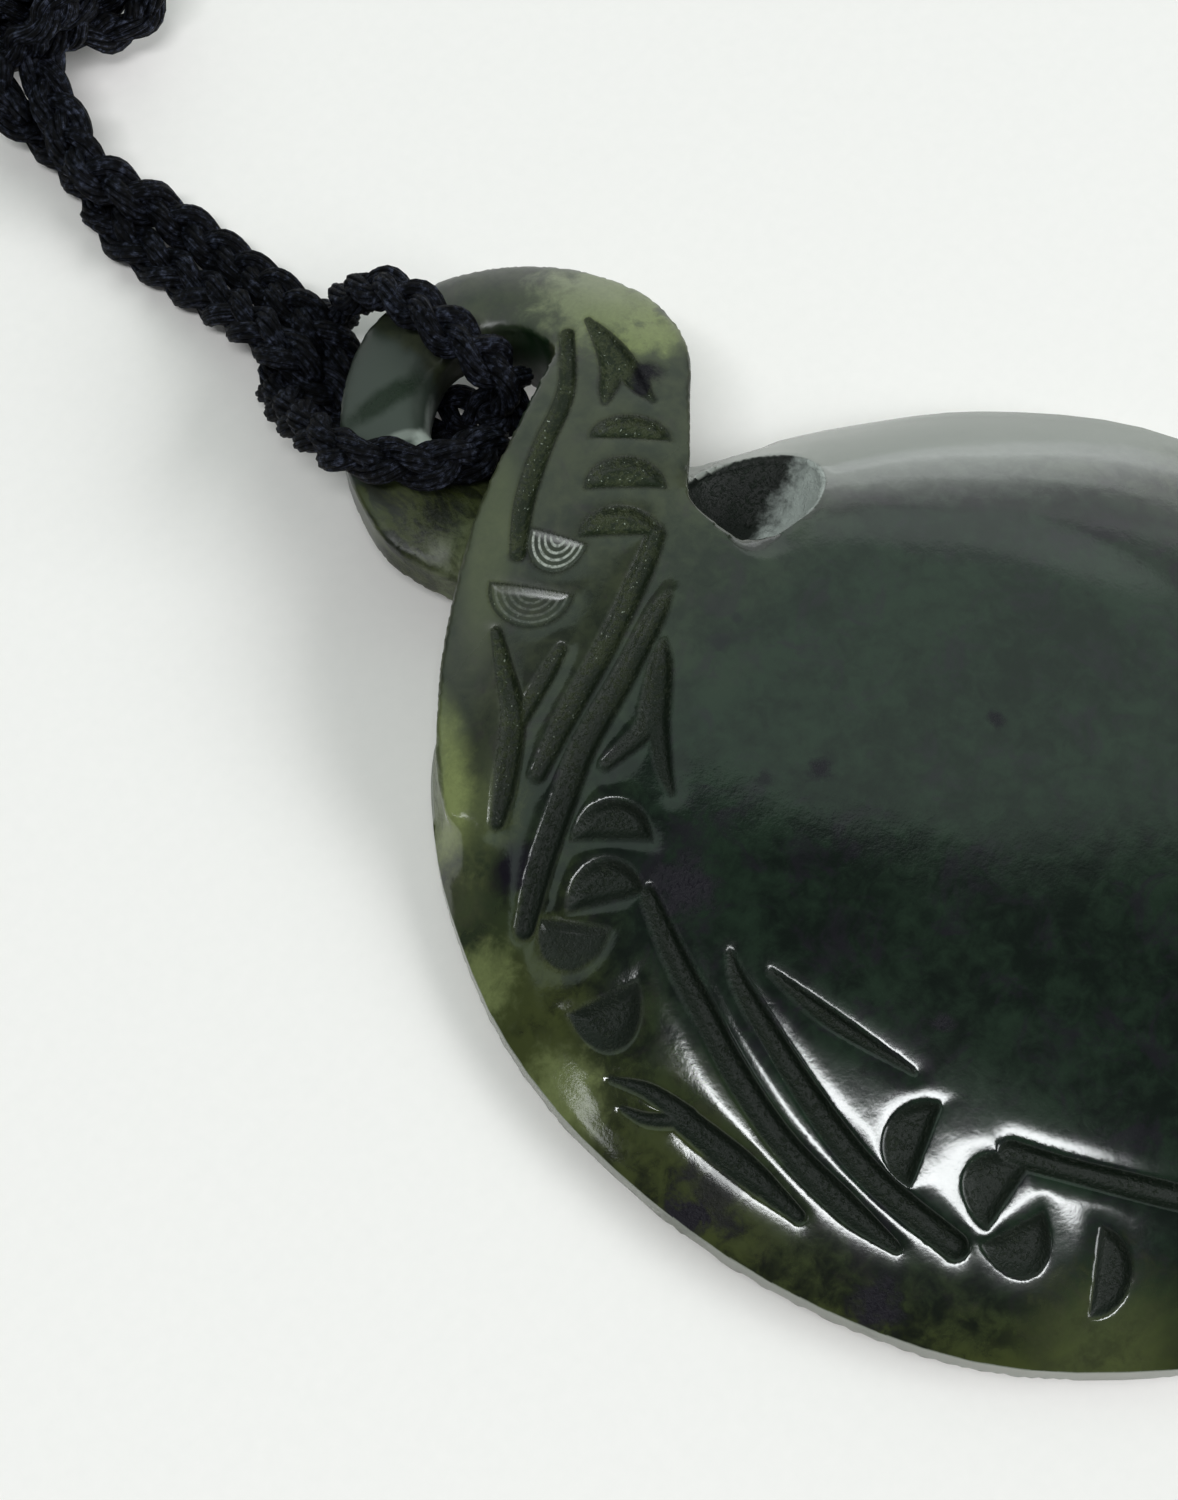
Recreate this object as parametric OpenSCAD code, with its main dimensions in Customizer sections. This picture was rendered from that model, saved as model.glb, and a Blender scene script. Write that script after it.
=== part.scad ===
// Greenstone twist pendant on a plaited cord. Lengths are in millimetres.
// The pendant lies on its flat back at z = 0, with its ring towards +Y and its engraved face up.
// The origin is on the flat back, in the middle of the blade.

/* [Blade] */
// Length of the blade, from its tip to its shoulders
blade_l = 44.8; // [40:0.1:50]
// Width of the blade at its widest
blade_w = 42.5; // [36:0.1:48]
// Thickness of the blade at its crown
blade_t = 6.8; // [5:0.1:8]
// Thickness of the blade's thin edge
edge_t = 1.5; // [1:0.1:2]
// Small round under the edge, where the back turns up
edge_round = 0.3; // [0.1:0.1:0.5]

/* [Ring] */
// Outer diameter of the twisted ring, seen from above
ring_d = 15.2; // [14:0.1:17]
// Distance of the ring's centre from the middle of the blade
ring_y = 27.6; // [27:0.1:29]
// Height of the front band's face at the crossing
front_top = 7.6; // [7.2:0.1:8.5]
// Thickness of the twisted band
band_t = 3.3; // [2.8:0.1:3.6]

/* [Cord] */
// Diameter of the plait, taken as round
cord_d = 1.6; // [1.4:0.1:2]
// Thickness of the two plaits together where they are knotted
knot_strand_d = 3.6; // [3:0.1:4]

/* [Hidden] */

stone_colour = [0.10, 0.16, 0.10];
cord_colour = [0.03, 0.03, 0.05];
blade_tip_y = -24;
blade_mid_x = 0.85;

// Fractions of the way across a section, from its left edge to its right
across_n = 21;
across = [for (i = [0:across_n - 1]) -cos(180 * i / (across_n - 1))];
dome_power = 2.2;
dome_round = 0.95;
// Share of each section's underside that lies flat, and share of the band's thickness that is rounded off
blade_flat = 0.94;
band_flat = 0.5;
band_rim = 0.22;
// Sections made between two rows of a table
stone_steps = 4;
// Row of the ring table at which the band is made in two lengths
band_joint = 6;

// Sections of the blade, from the tip to the shoulders.
// along: fraction of the length; left, right: fractions of the half width;
// crown: fraction of the thickness; crest: where across the section the crown is highest
//  along   left   right  crown  crest
blade_table = [
    [0.000, 0.090, 0.090, 0.24,  0.00],
    [0.012, 0.195, 0.195, 0.32,  0.00],
    [0.040, 0.335, 0.345, 0.45,  0.00],
    [0.115, 0.565, 0.570, 0.62,  0.00],
    [0.240, 0.800, 0.795, 0.82,  0.00],
    [0.405, 0.943, 0.940, 0.95,  0.00],
    [0.575, 0.988, 0.985, 1.00,  0.00],
    [0.720, 0.952, 0.905, 1.00, -0.08],
    [0.845, 0.840, 0.705, 0.99, -0.18],
    [0.925, 0.722, 0.495, 0.94, -0.28],
    [0.975, 0.614, 0.325, 0.86, -0.30],
    [1.000, 0.500, 0.205, 0.70, -0.30]
];

// Sections of the twisted band round the ring.
// turn: direction from the ring's centre; inner, outer: distances from it, fractions of the ring's radius;
// drop: depth of the face below the front band's; thick: thickness as a multiple of the band's;
// crest: as above, with -1 at the ring's hole
//  turn   inner  outer  drop  thick  crest
ring_table = [
    [ -12, 0.350, 1.005, 0.30, 1.55,  0.00],
    [  10, 0.380, 0.930, 0.80, 1.60,  0.00],
    [  30, 0.425, 0.890, 1.20, 1.60, -0.10],
    [  52, 0.440, 0.880, 1.55, 1.45, -0.20],
    [  74, 0.430, 0.890, 1.80, 1.10, -0.30],
    [  98, 0.410, 0.920, 2.00, 1.00, -0.50],
    [ 122, 0.400, 0.900, 2.10, 1.00, -0.60],
    [ 146, 0.420, 0.920, 2.10, 1.00, -0.60],
    [ 170, 0.440, 0.975, 2.20, 1.00, -0.50],
    [ 193, 0.430, 1.055, 2.50, 1.00, -0.35]
];

// Sections of the neck below the ring, and of the band's end under it.
// left, right: its two edge points; drop: as above; under: thickness at the middle;
// left rim, right rim: lowest and highest point of each edge; crest: as above
//  left point      right point     drop  under  left rim    right rim  crest
neck_table = [
    [[-17.0,  9.5], [  3.0,  4.0], 1.60, 5.6, [0.3, 2.0], [1.0, 5.4], 0.5],
    [[-14.6, 16.4], [  2.5, 10.5], 1.00, 6.0, [0.4, 3.4], [1.0, 6.2], 0.5],
    [[-11.6, 19.8], [  1.6, 15.4], 0.55, 5.8, [0.6, 4.8], [1.0, 6.6], 0.5],
    [[ -8.4, 22.1], [  1.4, 18.0], 0.20, 4.6, [1.9, 6.0], [3.0, 6.9], 0.4],
    [[ -5.0, 24.0], [  2.8, 19.4], 0.00, 3.6, [3.9, 6.8], [4.2, 7.1], 0.2],
    [[ -1.9, 25.2], [  4.5, 21.0], 0.00, 3.3, [4.9, 7.2], [4.8, 7.1], 0.0],
    [[  0.9, 26.3], [  6.7, 23.2], 0.10, 3.3, [4.8, 7.1], [4.9, 6.9], 0.0]
];
tail_table = [
    [[ -1.5, 24.6], [ -5.9, 21.8], 3.20, 3.6, [1.6, 3.6], [1.4, 3.4], 0.0],
    [[  1.2, 23.0], [ -2.4, 18.8], 3.60, 4.0, [0.8, 3.0], [0.8, 3.0], 0.0],
    [[  4.2, 20.9], [  1.8, 16.6], 3.60, 4.0, [0.5, 2.6], [0.8, 3.0], 0.0],
    [[  7.2, 18.6], [  5.4, 13.4], 3.80, 3.8, [0.5, 2.0], [0.8, 3.0], 0.0]
];

// Hollow beside the crossing: x, y, z and radius of the ball that carves it
hollow_table = [
    [3.1, 17.9, 5.7, 1.6],
    [3.0, 17.5, 5.3, 2.0],
    [3.2, 17.2, 5.0, 2.4],
    [3.8, 17.0, 4.9, 2.7],
    [4.4, 17.0, 5.0, 2.6],
    [5.0, 17.1, 5.2, 2.4],
    [5.6, 17.3, 5.4, 2.2],
    [6.1, 17.6, 5.7, 1.9],
    [6.4, 18.1, 6.1, 1.5],
    [5.2, 18.8, 7.0, 2.1]
];
hollow_fn = 20;

// Route of the plait: from the knot under the ring, up through it, round its band and back to the knot
hitch_route = [
    [-1.6, 55.5, 2.9], [-2.3, 53.5, 2.9], [-3.2, 51.3, 2.8], [-2.8, 49.3, 2.5], [-1.9, 47.5, 1.4],
    [-1.5, 45.1, 1.0], [-1.5, 42.1, 1.5], [-1.8, 39.5, 2.6], [-2.1, 37.3, 3.0], [-2.0, 35.8, 2.2],
    [-1.6, 34.5, 1.1], [-0.9, 32.6, 1.0], [0.0, 30.1, 1.1], [0.7, 28.5, 2.6], [0.9, 27.9, 4.5],
    [0.6, 28.6, 6.2], [0.2, 31.3, 6.9], [0.2, 33.3, 6.7], [0.1, 34.8, 6.2], [-0.1, 36.0, 4.9],
    [-0.2, 37.2, 2.9], [-0.6, 37.9, 1.3], [-2.0, 38.1, 1.0], [-3.9, 37.8, 1.0], [-5.1, 36.5, 1.9],
    [-6.2, 33.9, 4.0], [-6.7, 31.9, 5.5], [-6.8, 30.0, 6.4], [-5.8, 28.2, 6.6], [-4.5, 26.8, 6.4],
    [-1.9, 26.5, 4.9], [-1.5, 27.6, 2.2], [-2.2, 29.3, 1.0], [-3.0, 31.6, 1.0], [-3.3, 34.3, 1.1],
    [-3.6, 35.5, 2.3], [-3.9, 37.2, 3.2], [-3.8, 39.6, 2.7], [-3.6, 42.4, 1.5], [-3.7, 45.1, 1.0],
    [-3.9, 48.5, 1.0], [-3.0, 51.3, 1.0], [-2.8, 55.0, 1.3], [-3.4, 56.4, 2.6]
];

// Right half of the loop that goes round the neck, from the knot to its far end
loop_half = [
    [2.9, 64.6, 2.4], [5, 69.5, 1.3], [8, 77, 1], [20, 100, 1], [42, 140, 1], [62, 185, 1], [72, 230, 1],
    [66, 272, 1], [40, 306, 1]
];
loop_end = [0, 320, 1];
loop_steps = 2;

// Overhand knot of the doubled cord: centre, turn, size of its three crossing lobes, and fat strand
knot_centre = [1.8, 59.5, 3.5];
knot_turn = -46;
knot_size = [2.4, 1.7, 1.5];
knot_steps = 24;
knot_fn = 10;

tube_sides = 8;

function unit(v) = v / norm(v);

// Smooth curve through the rows of a table, with steps pieces between rows
function blend4(a, b, c, d, s) =
    0.5 * (2 * b + (c - a) * s + (2 * a - 5 * b + 4 * c - d) * s * s
        + (3 * b - a - 3 * c + d) * s * s * s);
function smooth_rows(t, steps) = concat(
    [for (i = [0:len(t) - 2]) for (k = [0:steps - 1])
        blend4(t[max(i - 1, 0)], t[i], t[i + 1], t[min(i + 2, len(t) - 1)], k / steps)],
    [t[len(t) - 1]]);

// A section of stone as a row of numbers: left point, right point, low, top,
// left rim's low and top, right rim's low and top, crest
function blade_row(r) = let (y = blade_tip_y + r[0] * blade_l) [
    blade_mid_x - r[1] * blade_w / 2, y, blade_mid_x + r[2] * blade_w / 2, y,
    0, max(r[3] * blade_t, edge_t + 0.1), edge_round, edge_t, edge_round, edge_t, r[4]];
function ring_row(r) = let (
    radius = ring_d / 2,
    z = front_top - r[3],
    bottom = z - r[4] * band_t,
    low = bottom + band_rim * band_t,
    high = z - band_rim * band_t) [
    r[1] * radius * cos(r[0]), ring_y + r[1] * radius * sin(r[0]),
    r[2] * radius * cos(r[0]), ring_y + r[2] * radius * sin(r[0]),
    bottom, z, low, high + (r[4] - 1) * 0.6, low, high, r[5]];
function edge_row(r) = let (z = front_top - r[2]) [
    r[0][0], r[0][1], r[1][0], r[1][1], max(z - r[3], 0), z, r[4][0], r[4][1], r[5][0], r[5][1], r[6]];

function top_z(r, t) = let (
    u = t < r[10] ? (r[10] - t) / (r[10] + 1) : (t - r[10]) / (1 - r[10]),
    rim = t < r[10] ? r[7] : r[9])
    rim + (r[5] - rim) * pow(max(1 - pow(u, dome_power), 0), dome_round);
function low_z(r, t, flat) = let (
    u = max(abs(t) - flat, 0) / (1 - flat),
    rim = t < 0 ? r[6] : r[8])
    max(r[4] + (rim - r[4]) * u * u, 0);
function at(r, t, z) = let (s = (t + 1) / 2)
    [r[0] + (r[2] - r[0]) * s, r[1] + (r[3] - r[1]) * s, z];
function section(r, flat) = concat(
    [for (t = across) at(r, t, top_z(r, t))],
    [for (t = [1, (1 + flat) / 2, flat, flat / 3, -flat / 3, -flat, -(1 + flat) / 2, -1])
        at(r, t, low_z(r, t, flat))]);

// Skin over a list of closed sections with the same number of points
module loft(rings) {
    n = len(rings[0]);
    m = len(rings);
    polyhedron(
        points = [for (ring = rings) for (p = ring) p],
        faces = concat(
            [[for (k = [0:n - 1]) k]],
            [for (i = [0:m - 2]) for (k = [0:n - 1]) let (a = i * n + k, b = i * n + (k + 1) % n)
                each [[a, b + n, b], [a, a + n, b + n]]],
            [[for (k = [0:n - 1]) m * n - 1 - k]]));
}

// Round tube along a path, its rings carried along without twist
function heading(path, i) = unit(path[min(i + 1, len(path) - 1)] - path[max(i - 1, 0)]);
function carry(path, side, i = 0) = i == len(path) ? [] :
    let (h = heading(path, i), s = unit(side - (side * h) * h)) concat([s], carry(path, s, i + 1));
function tube_ring(p, h, s, r) = let (b = cross(h, s))
    [for (k = [0:tube_sides - 1]) let (a = 360 * k / tube_sides) p + r * (cos(a) * s + sin(a) * b)];
module tube(path, d) {
    sides = carry(path, [1, 0, 0]);
    loft([for (i = [0:len(path) - 1]) tube_ring(path[i], heading(path, i), sides[i], d / 2)]);
}

module blade() {
    loft([for (r = smooth_rows([for (r = blade_table) blade_row(r)], stone_steps)) section(r, blade_flat)]);
}

module twisted_band() {
    rows = smooth_rows(concat(
        [for (r = neck_table) edge_row(r)],
        [for (r = ring_table) ring_row(r)],
        [for (r = tail_table) edge_row(r)]), stone_steps);
    split = stone_steps * (len(neck_table) + band_joint);
    loft([for (i = [0:split]) section(rows[i], band_flat)]);
    loft([for (i = [split:len(rows) - 1]) section(rows[i], band_flat)]);
}

module hollow() {
    for (i = [0:len(hollow_table) - 2])
        hull() {
            carving_ball(hollow_table[i]);
            carving_ball(hollow_table[i + 1]);
        }
}

module carving_ball(r) {
    translate([r[0], r[1], r[2]])
        sphere(r = r[3], $fn = hollow_fn);
}

module stone_pendant() {
    color(stone_colour)
        difference() {
            union() {
                blade();
                twisted_band();
            }
            hollow();
        }
}

module cord_hitch() {
    color(cord_colour)
        tube(hitch_route, cord_d);
}

module cord_knot() {
    color(cord_colour)
        translate(knot_centre)
            rotate([0, 0, knot_turn])
                for (i = [0:knot_steps - 1])
                    hull() {
                        knot_ball(360 * i / knot_steps);
                        knot_ball(360 * (i + 1) / knot_steps);
                    }
}

module knot_ball(a) {
    translate([
        knot_size[0] * (sin(a) + 2 * sin(2 * a)) / 1.6,
        knot_size[1] * (cos(a) - 2 * cos(2 * a)) / 1.6,
        -knot_size[2] * sin(3 * a)])
        sphere(d = knot_strand_d, $fn = knot_fn);
}

module neck_cord() {
    left_half = [for (i = [len(loop_half) - 1:-1:0]) [-loop_half[i][0], loop_half[i][1], loop_half[i][2]]];
    color(cord_colour)
        tube(smooth_rows(concat(loop_half, [loop_end], left_half), loop_steps), cord_d);
}

stone_pendant();
cord_hitch();
cord_knot();
neck_cord();
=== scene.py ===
from math import cos, pi, radians, sin, tan

import bmesh
import bpy
import numpy as np
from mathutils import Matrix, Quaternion, Vector
from mathutils.bvhtree import BVHTree
from mathutils.kdtree import KDTree


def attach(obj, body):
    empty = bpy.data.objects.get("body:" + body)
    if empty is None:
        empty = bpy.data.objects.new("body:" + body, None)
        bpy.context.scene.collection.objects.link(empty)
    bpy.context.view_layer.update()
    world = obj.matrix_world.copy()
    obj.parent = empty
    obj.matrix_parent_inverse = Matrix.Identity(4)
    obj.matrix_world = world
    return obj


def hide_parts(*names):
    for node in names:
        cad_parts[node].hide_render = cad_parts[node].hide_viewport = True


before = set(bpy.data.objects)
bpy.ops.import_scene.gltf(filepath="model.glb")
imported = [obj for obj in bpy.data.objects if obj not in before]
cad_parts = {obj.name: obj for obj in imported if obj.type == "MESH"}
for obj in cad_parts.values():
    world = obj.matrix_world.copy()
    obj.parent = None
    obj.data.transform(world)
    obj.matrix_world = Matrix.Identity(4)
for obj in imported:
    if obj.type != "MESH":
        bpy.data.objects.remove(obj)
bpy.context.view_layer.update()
scene = bpy.context.scene

# The view of the pendant as it lies on the table. The camera looks down steeply from the foot of the
# blade towards the knot, from a hand's breadth away.
MM = 0.001
CAMERA_PLACE = Vector((-43.9, -19.9, 108.8)) * MM
CAMERA_ELEVATION = radians(65)
CAMERA_AZIMUTH = radians(-46)
VIEW_HEIGHT = radians(29.4)
SENSOR = 36
camera_data = bpy.data.cameras.new("camera")
camera_data.lens = SENSOR / (2 * tan(VIEW_HEIGHT / 2))
camera_data.sensor_width = SENSOR
camera_data.clip_start = 1 * MM
camera_data.clip_end = 20
camera = bpy.data.objects.new("camera", camera_data)
camera.location = CAMERA_PLACE
camera.rotation_euler = (pi / 2 - CAMERA_ELEVATION, 0, CAMERA_AZIMUTH)
scene.collection.objects.link(camera)
scene.camera = camera

# Plaited cord at the pendant: the bight of the cord is hitched through the ring. It is black waxed
# cotton, three strands plaited, each strand laid up from thin yarns with a little twist. The plait
# spreads where it lies over the ring and closes up where it is pulled straight.
STRAND_D = 1.08
STRAND_SIDES = 10
# In mm. In every turn of the plait a strand swings aside once, by the reach, and up twice, by the rise.
PLAIT_REACH = 0.5
PLAIT_RISE = 0.38
PLAIT_TURN = 6.3
YARNS = 8
YARN_D = 0.33
YARN_SIDES = 6
YARN_TURN = 9.0
YARN_SEAM = 0.002
HITCH_STEP = 0.3
HITCH_ROUTE = [
    (-1.6, 55.5, 2.9), (-2.3, 53.5, 2.9), (-3.2, 51.3, 2.8), (-2.8, 49.3, 2.5), (-1.9, 47.5, 1.4),
    (-1.5, 45.1, 1.0), (-1.5, 42.1, 1.5), (-1.8, 39.5, 2.6), (-2.1, 37.3, 3.0), (-2.0, 35.8, 2.2),
    (-1.6, 34.5, 1.1), (-0.9, 32.6, 1.0), (0.0, 30.1, 1.1), (0.7, 28.5, 2.6), (0.9, 27.9, 4.5),
    (0.6, 28.6, 6.2), (0.2, 31.3, 6.9), (0.2, 33.3, 6.7), (0.1, 34.8, 6.2), (-0.1, 36.0, 4.9),
    (-0.2, 37.2, 2.9), (-0.6, 37.9, 1.3), (-2.0, 38.1, 1.0), (-3.9, 37.8, 1.0), (-5.1, 36.5, 1.9),
    (-6.2, 33.9, 4.0), (-6.7, 31.9, 5.5), (-6.8, 30.0, 6.4), (-5.8, 28.2, 6.6), (-4.5, 26.8, 6.4),
    (-1.9, 26.5, 4.9), (-1.5, 27.6, 2.2), (-2.2, 29.3, 1.0), (-3.0, 31.6, 1.0), (-3.3, 34.3, 1.1),
    (-3.6, 35.5, 2.3), (-3.9, 37.2, 3.2), (-3.8, 39.6, 2.7), (-3.6, 42.4, 1.5), (-3.7, 45.1, 1.0),
    (-3.9, 48.5, 1.0), (-3.0, 51.3, 1.0), (-2.8, 55.0, 1.3), (-3.4, 56.4, 2.6),
]
# Both ends run on a little way into the knot.
HITCH_START = (-0.2, 57.4, 3.2)
HITCH_FINISH = (-2.0, 58.6, 3.4)
# Each spread is a length along the hitch in mm and the share of the full reach there.
HITCH_SPREAD = [
    (0, 1.1), (5, 1.3), (10, 1.3), (16, 1.1), (23, 1.2), (29, 1.85), (35, 1.7), (42, 1.4), (47, 1.1),
    (52, 0.8), (60, 0.9), (69, 1.2), (74, 1.7), (80, 1.2), (90, 1.3), (98, 1.3), (104, 1.0),
]


def smooth_route(points, step):
    """A round curve through the points, as places one step apart."""
    rows = np.array([points[0], *points, points[-1]], float)
    u = np.linspace(0, 1, 12, endpoint=False)[:, None]
    parts = []
    for a, b, c, d in zip(rows, rows[1:], rows[2:], rows[3:]):
        bend = (2 * a - 5 * b + 4 * c - d) * u**2 + (3 * b - a - 3 * c + d) * u**3
        parts.append((2 * b + (c - a) * u + bend) / 2)
    curve = np.vstack([*parts, rows[-1:]])
    along = np.insert(np.cumsum(np.linalg.norm(np.diff(curve, axis=0), axis=1)), 0, 0)
    places = np.linspace(0, along[-1], max(2, round(along[-1] / step)))
    return np.column_stack([np.interp(places, along, column) for column in curve.T])


def carried_frames(route, top=(0, 0, 1)):
    """The side and the top of the cord at each place, carried along without twist."""
    ahead = np.gradient(route, axis=0)
    ahead /= np.linalg.norm(ahead, axis=1)[:, None]
    tops = []
    top = np.array(top, float)
    for way in ahead:
        top = top - way * (top @ way)
        top /= np.linalg.norm(top)
        tops.append(top)
    return np.cross(ahead, tops), np.array(tops)


def laid_cord(name, lines, thickness, sides):
    """One closed mesh of round yarns along the lines, with its length in mm as the map's V."""
    curve = bpy.data.curves.new(name, "CURVE")
    curve.dimensions = "3D"
    for line in lines:
        spline = curve.splines.new("POLY")
        spline.points.add(len(line) - 1)
        places = np.column_stack([np.array(line) * MM, np.ones(len(line))])
        spline.points.foreach_set("co", places.ravel())
    curve.bevel_depth = thickness / 2 * MM
    curve.bevel_resolution = sides // 2 - 2
    curve.use_fill_caps = True
    bent = bpy.data.objects.new(name, curve)
    scene.collection.objects.link(bent)
    mesh = bpy.data.meshes.new_from_object(bent.evaluated_get(bpy.context.evaluated_depsgraph_get()))
    bpy.data.objects.remove(bent)
    length = np.linalg.norm(np.diff(lines[0], axis=0), axis=1).sum()
    work = bmesh.new()
    work.from_mesh(mesh)
    bmesh.ops.remove_doubles(work, verts=work.verts, dist=YARN_SEAM * MM)
    chart = work.loops.layers.uv.active
    for face in work.faces:
        face.smooth = True
        for corner in face.loops:
            corner[chart].uv.y *= length
    bmesh.ops.recalc_face_normals(work, faces=work.faces)
    work.to_mesh(mesh)
    work.free()
    mesh.name = name
    piece = bpy.data.objects.new(name, mesh)
    scene.collection.objects.link(piece)
    return piece


def strand_lines(route, sides, tops, start=0.0, spread=1.0):
    """The middle of each of the three strands, that weave from edge to edge of the plait."""
    along = np.insert(np.cumsum(np.linalg.norm(np.diff(route, axis=0), axis=1)), 0, 0)
    for strand in range(3):
        turn = 2 * pi * ((along + start) / PLAIT_TURN + strand / 3)
        reach = (PLAIT_REACH * spread * np.sin(turn))[:, None]
        rise = (PLAIT_RISE * np.sin(2 * turn))[:, None]
        yield route + sides * reach + tops * rise, along


def yarn_lines(route, sides, tops, start=0.0, spread=1.0):
    """The middle of every yarn of the three strands."""
    out = (STRAND_D - YARN_D) / 2
    lines = []
    for middle, along in strand_lines(route, sides, tops, start, spread):
        for yarn in range(YARNS):
            turn = 2 * pi * (yarn / YARNS + along / YARN_TURN)
            aside = sides * (out * np.cos(turn))[:, None]
            lines.append(middle + aside + tops * (out * np.sin(turn))[:, None])
    return lines


hitch_way = smooth_route([HITCH_START, *HITCH_ROUTE, HITCH_FINISH], HITCH_STEP)
hitch_spread = np.interp(np.arange(len(hitch_way)) * HITCH_STEP, *zip(*HITCH_SPREAD))
hitch_yarns = yarn_lines(hitch_way, *carried_frames(hitch_way), spread=hitch_spread)
hitch_plait = laid_cord("hitch_plait", hitch_yarns, YARN_D, YARN_SIDES)


class Signal:
    """A value on its way through a finish: sums on it add Math nodes, and node() adds any other."""

    def __init__(self, tree, socket=None):
        self.tree = tree
        self.socket = socket

    def node(self, kind, settings=None, sockets=None, out=0):
        """Adds any node, with its settings first and then what its sockets are given."""
        made = self.tree.nodes.new(kind)
        for name, value in (settings or {}).items():
            setattr(made, name, value)
        for name, value in (sockets or {}).items():
            if isinstance(value, Signal):
                self.tree.links.new(value.socket, made.inputs[name])
            else:
                made.inputs[name].default_value = value
        return Signal(self.tree, made.outputs[out])

    def axes(self):
        """The x, y and z of a place."""
        split = self.node("ShaderNodeSeparateXYZ", None, {0: self}).socket.node
        return [Signal(self.tree, split.outputs[axis]) for axis in range(3)]

    def math(self, operation, *values):
        return self.node("ShaderNodeMath", {"operation": operation}, dict(enumerate(values)))

    def __add__(self, other):
        return self.math("ADD", self, other)

    def __sub__(self, other):
        return self.math("SUBTRACT", self, other)

    def __rsub__(self, other):
        return self.math("SUBTRACT", other, self)

    def __mul__(self, other):
        return self.math("MULTIPLY", self, other)

    def __truediv__(self, other):
        return self.math("DIVIDE", self, other)

    def __pow__(self, other):
        return self.math("POWER", self, other)

    __radd__ = __add__
    __rmul__ = __mul__

    def wave(self):
        return self.math("SINE", self)

    def between(self, low, high):
        """0 below low, 1 above high, and a soft step between them."""
        limits = {"Value": self, "From Min": low, "From Max": high}
        return self.node("ShaderNodeMapRange", {"interpolation_type": "SMOOTHSTEP"}, limits)

    def noise(self, scale, detail=3, roughness=0.55, warp=0.0):
        sockets = {"Vector": self, "Scale": scale, "Detail": detail}
        sockets |= {"Roughness": roughness, "Distortion": warp}
        return self.node("ShaderNodeTexNoise", None, sockets)

    def stretched(self, x, y, z):
        return self.node("ShaderNodeVectorMath", {"operation": "MULTIPLY"}, {0: self, 1: (x, y, z)})

    def tinted(self, first, second):
        """The first colour where this is 0, the second where it is 1."""
        ends = {0: self}
        for place, colour in ((6, first), (7, second)):
            ends[place] = colour if isinstance(colour, Signal) else (*colour, 1)
        return self.node("ShaderNodeMix", {"data_type": "RGBA"}, ends, out=2)


def new_finish(name, fixed):
    """A material with one Principled shader and the values that are the same all over it."""
    material = bpy.data.materials.new(name)
    material.use_nodes = True
    tree = material.node_tree
    shader = next(node for node in tree.nodes if node.type == "BSDF_PRINCIPLED")
    for socket, value in fixed.items():
        shader.inputs[socket].default_value = value
    return material, Signal(tree), shader


def feed(shader, colour, roughness, height, strength, reach):
    """Leads a finish's colour, roughness and relief into its shader; reach is the relief in mm."""
    links = colour.tree.links
    links.new(colour.socket, shader.inputs["Base Color"])
    links.new(roughness.socket, shader.inputs["Roughness"])
    bump = {"Height": height, "Strength": strength, "Distance": reach * MM}
    relief = colour.node("ShaderNodeBump", None, bump)
    links.new(relief.socket, shader.inputs["Normal"])


def place_in_mm(start):
    """Where each point of a surface is."""
    return start.node("ShaderNodeTexCoord", out="Object").stretched(1 / MM, 1 / MM, 1 / MM)


# Black, and a pale grey-blue that is partly fibre faded by wear and partly painted glints.
COTTON_AND_GLINT_COLOURS = (0.0003, 0.0004, 0.0009), (0.095, 0.11, 0.17)


def waxed_cotton(name, yarns_round):
    """Black cotton under wax, its fibres grey-blue from wear where they stand up, brightened into painted
    glints.

    yarns_round is how many yarns the relief draws round each tube of the mesh.
    """
    material, start, shader = new_finish(name, {"IOR": 1.45, "Specular IOR Level": 0.12})
    chart = start.node("ShaderNodeTexCoord", out="UV")
    fibres = chart.stretched(9 * yarns_round, 0.9, 1).noise(1, 5, 0.7, 0.6)
    fuzz = place_in_mm(start).noise(3.2, 4, 0.7)
    worn_and_glints = (fibres * 0.55 + fuzz * 0.45).between(0.51, 0.66)
    colour = worn_and_glints.tinted(*COTTON_AND_GLINT_COLOURS)
    ridges = (chart.axes()[0] * (2 * pi * yarns_round)).wave()
    height = fibres + ridges * (0.25 if yarns_round > 1 else 0.0)
    feed(shader, colour, 0.6 - worn_and_glints * 0.22, height, 0.6, 0.1)
    return material


hitch_plait.data.materials.append(waxed_cotton("waxed_cotton_yarns", 1))
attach(hitch_plait, "root")
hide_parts("cord_hitch")

# The knot above the hitch: both legs of the same cord tied together in one overhand knot, pulled
# tight into a lump. The two cords lie side by side all the way through it.
KNOT_PLACE = (1.8, 59.5, 3.5)
KNOT_TURN = radians(-46)
KNOT_SIZE = (2.4, 1.7, 1.5)
KNOT_STEPS = 130
KNOT_PAIR = 0.82
KNOT_SPREAD = 0.8
# How far the plain curve of the knot reaches, before it is brought to its size.
KNOT_SPAN = 1.6


def knot_way():
    """The overhand knot's closed way, as the middle between the two cords."""
    turn = np.linspace(0, 2 * pi, KNOT_STEPS)
    x = KNOT_SIZE[0] * (np.sin(turn) + 2 * np.sin(2 * turn)) / KNOT_SPAN
    y = KNOT_SIZE[1] * (np.cos(turn) - 2 * np.cos(2 * turn)) / KNOT_SPAN
    z = -KNOT_SIZE[2] * np.sin(3 * turn)
    c, s = cos(KNOT_TURN), sin(KNOT_TURN)
    return np.column_stack([c * x - s * y, s * x + c * y, z]) + KNOT_PLACE


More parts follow.
